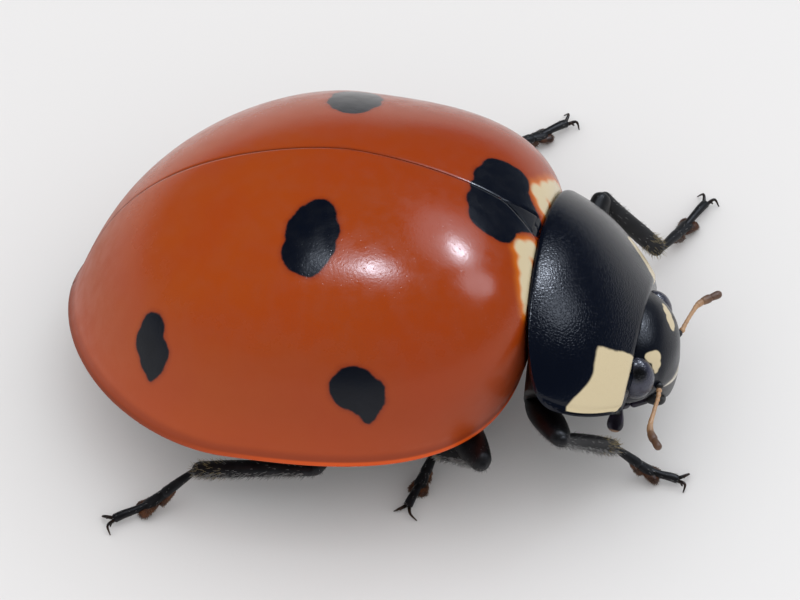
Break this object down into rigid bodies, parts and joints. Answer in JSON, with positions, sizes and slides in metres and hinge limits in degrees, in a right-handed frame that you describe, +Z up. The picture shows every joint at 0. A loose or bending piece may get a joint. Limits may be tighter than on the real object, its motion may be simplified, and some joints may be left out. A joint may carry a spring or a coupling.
{
  "type": "seven-spot ladybird",
  "caption": "Life-size still model of a seven-spot ladybird standing on six bent legs, one side a little higher, with domed orange wing cases and a black shield.",
  "frame": {"origin": "middle of the model's footprint, on the floor", "axes": "+X towards the head, +Y towards the animal's left side, +Z up"},
  "size_m": [0.0084, 0.0084, 0.0037],
  "materials": {
    "wing_case": "glossy chitin",
    "black_shell": "satin chitin",
    "eye": "faceted gloss",
    "feeler": "matt chitin",
    "underside": "matt chitin with fine pale hairs",
    "leg": "matt chitin with fine pale hairs"
  },
  "bodies": {
    "root": {"abdomen": "underside", "antenna_left": "feeler", "antenna_right": "feeler", "elytron_left": "wing_case", "elytron_right": "wing_case", "eye_left": "eye", "eye_right": "eye", "femur_front_left": "leg", "femur_front_right": "leg", "femur_hind_left": "leg", "femur_hind_right": "leg", "femur_middle_left": "leg", "femur_middle_right": "leg", "head": "black_shell", "metathorax": "underside", "mouthparts": "underside", "palp_left": "underside", "palp_right": "underside", "pronotum": "black_shell", "prothorax": "underside", "scutellum": "black_shell", "tarsus_front_left": "leg", "tarsus_front_right": "leg", "tarsus_hind_left": "leg", "tarsus_hind_right": "leg", "tarsus_middle_left": "leg", "tarsus_middle_right": "leg", "tibia_front_left": "leg", "tibia_front_right": "leg", "tibia_hind_left": "leg", "tibia_hind_right": "leg", "tibia_middle_left": "leg", "tibia_middle_right": "leg"}
  },
  "joints": []
}
